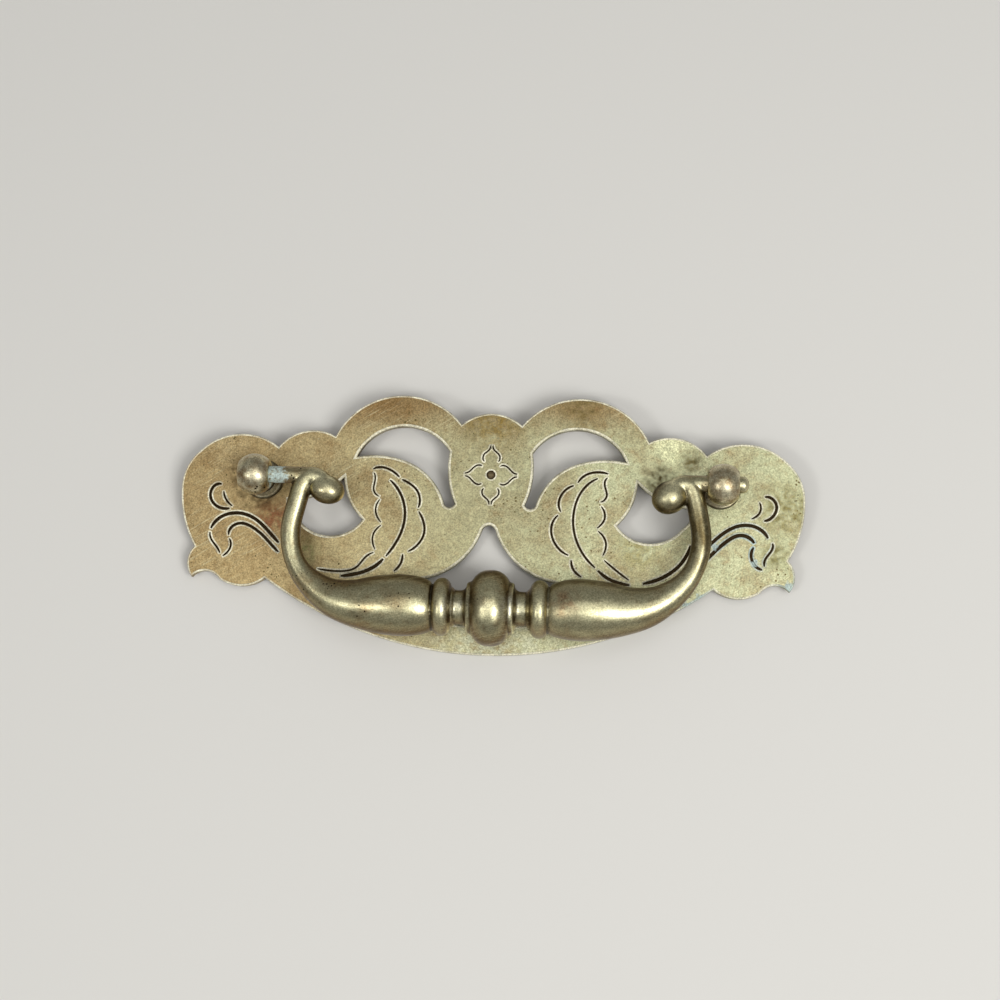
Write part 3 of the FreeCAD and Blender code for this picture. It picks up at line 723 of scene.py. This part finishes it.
class BAILPULL_OT_posts(bpy.types.Operator):
    """Turns the two ball-headed posts and eases their filed cheeks"""
    bl_idname = "bail_pull.posts"
    bl_label = "Posts"

    def execute(self, context):
        settings = context.scene.bail_pull_post
        material = turned_finish(context.scene.bail_pull_finish)
        for node in ("left_post", "right_post"):
            post = merged_copy(node, node + "_dressed")
            fuse(post, settings.turned_grain, settings.worn_passes)
            find_hollows(post, 4)
            finish_piece(post, "mounting", node, material)
        return {"FINISHED"}


class BAILPULL_OT_bail(bpy.types.Operator):
    """Fuses and polishes the cast bail"""
    bl_idname = "bail_pull.bail"
    bl_label = "Bail"

    def execute(self, context):
        settings = context.scene.bail_pull_bail
        bail = merged_copy("bail", "bail_dressed")
        fuse(bail, settings.cast_grain, settings.polish_passes)
        find_hollows(bail, 4)
        finish_piece(bail, "bail", "bail",
                     cast_finish(context.scene.bail_pull_finish))
        return {"FINISHED"}


class BAILPULL_OT_stage(bpy.types.Operator):
    """Adds the pale floor, the soft lights and the camera"""
    bl_idname = "bail_pull.stage"
    bl_label = "Stage"

    def execute(self, context):
        settings = context.scene.bail_pull_stage
        # The pull lies on the feet of its posts and on the plate's lowest edge
        rim = PLATE_LOW.y
        slope = math.atan2(PLATE_LOW.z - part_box("left_post")[0].z, HEEL - rim)
        bpy.ops.object.select_all(action="DESELECT")
        bpy.ops.mesh.primitive_plane_add(size=6.0, location=(0, 0, 0))
        floor = context.object
        floor.name = "floor"
        floor.rotation_euler = (-slope, 0, 0)
        floor.location = (0, rim, PLATE_LOW.z)
        cover = bpy.data.materials.new("matt_painted_board")
        cover.use_nodes = True
        board = cover.node_tree.nodes["Principled BSDF"]
        board.inputs["Base Color"].default_value = colour(settings.floor_colour)
        board.inputs["Roughness"].default_value = 0.85
        floor.data.materials.append(cover)

        for name, (place, width, height, power) in LAMPS.items():
            light = bpy.data.lights.new(name, "AREA")
            light.shape = "RECTANGLE"
            light.size = width
            light.size_y = height
            light.energy = power
            holder = bpy.data.objects.new(name, light)
            holder.location = place
            holder.rotation_euler = (-Vector(place)).to_track_quat("-Z", "Y").to_euler()
            context.scene.collection.objects.link(holder)

        world = context.scene.world or bpy.data.worlds.new("room")
        context.scene.world = world
        world.use_nodes = True
        tree = world.node_tree
        tree.nodes.clear()
        ray = add(tree, "ShaderNodeLightPath")
        room = add(tree, "ShaderNodeBackground", {"Color": (0.28, 0.28, 0.28, 1)})
        paper = add(tree, "ShaderNodeBackground", {"Color": colour(settings.floor_colour)})
        mix = add(tree, "ShaderNodeMixShader", {0: ray.outputs["Is Camera Ray"],
                                                1: room.outputs[0], 2: paper.outputs[0]})
        add(tree, "ShaderNodeOutputWorld", {"Surface": mix.outputs[0]})

        camera = bpy.data.cameras.new("camera")
        camera.sensor_width = 36.0
        camera.lens = settings.lens
        camera.clip_start = 0.01
        holder = bpy.data.objects.new("camera", camera)
        holder.location = CAMERA_PLACE
        holder.rotation_euler = CAMERA_TURN
        context.scene.collection.objects.link(holder)
        context.scene.camera = holder
        context.scene.view_settings.view_transform = "Standard"
        return {"FINISHED"}


class BAILPULL_PT_panel(bpy.types.Panel):
    bl_label = "Bail Pull"
    bl_idname = "BAILPULL_PT_panel"
    bl_space_type = "VIEW_3D"
    bl_region_type = "UI"
    bl_category = "Bail Pull"

    def draw(self, context):
        for group in SETTINGS:
            box = self.layout.box()
            values = getattr(context.scene, group)
            for name in values.__annotations__:
                box.prop(values, name)
        for operator in OPERATORS:
            self.layout.operator(operator.bl_idname)


SETTINGS = {
    "bail_pull_plate": PlateSettings,
    "bail_pull_post": PostSettings,
    "bail_pull_bail": BailSettings,
    "bail_pull_finish": FinishSettings,
    "bail_pull_stage": StageSettings,
}
OPERATORS = [BAILPULL_OT_stage, BAILPULL_OT_backplate, BAILPULL_OT_posts, BAILPULL_OT_bail]


def register():
    for group, kind in SETTINGS.items():
        bpy.utils.register_class(kind)
        setattr(bpy.types.Scene, group, bpy.props.PointerProperty(type=kind))
    for kind in OPERATORS + [BAILPULL_PT_panel]:
        bpy.utils.register_class(kind)


def unregister():
    for kind in [BAILPULL_PT_panel] + OPERATORS[::-1]:
        bpy.utils.unregister_class(kind)
    for group, kind in SETTINGS.items():
        delattr(bpy.types.Scene, group)
        bpy.utils.unregister_class(kind)


def main():
    register()
    bpy.ops.bail_pull.stage()
    bpy.ops.bail_pull.backplate()
    bpy.ops.bail_pull.posts()
    bpy.ops.bail_pull.bail()


if __name__ == "__main__":
    main()
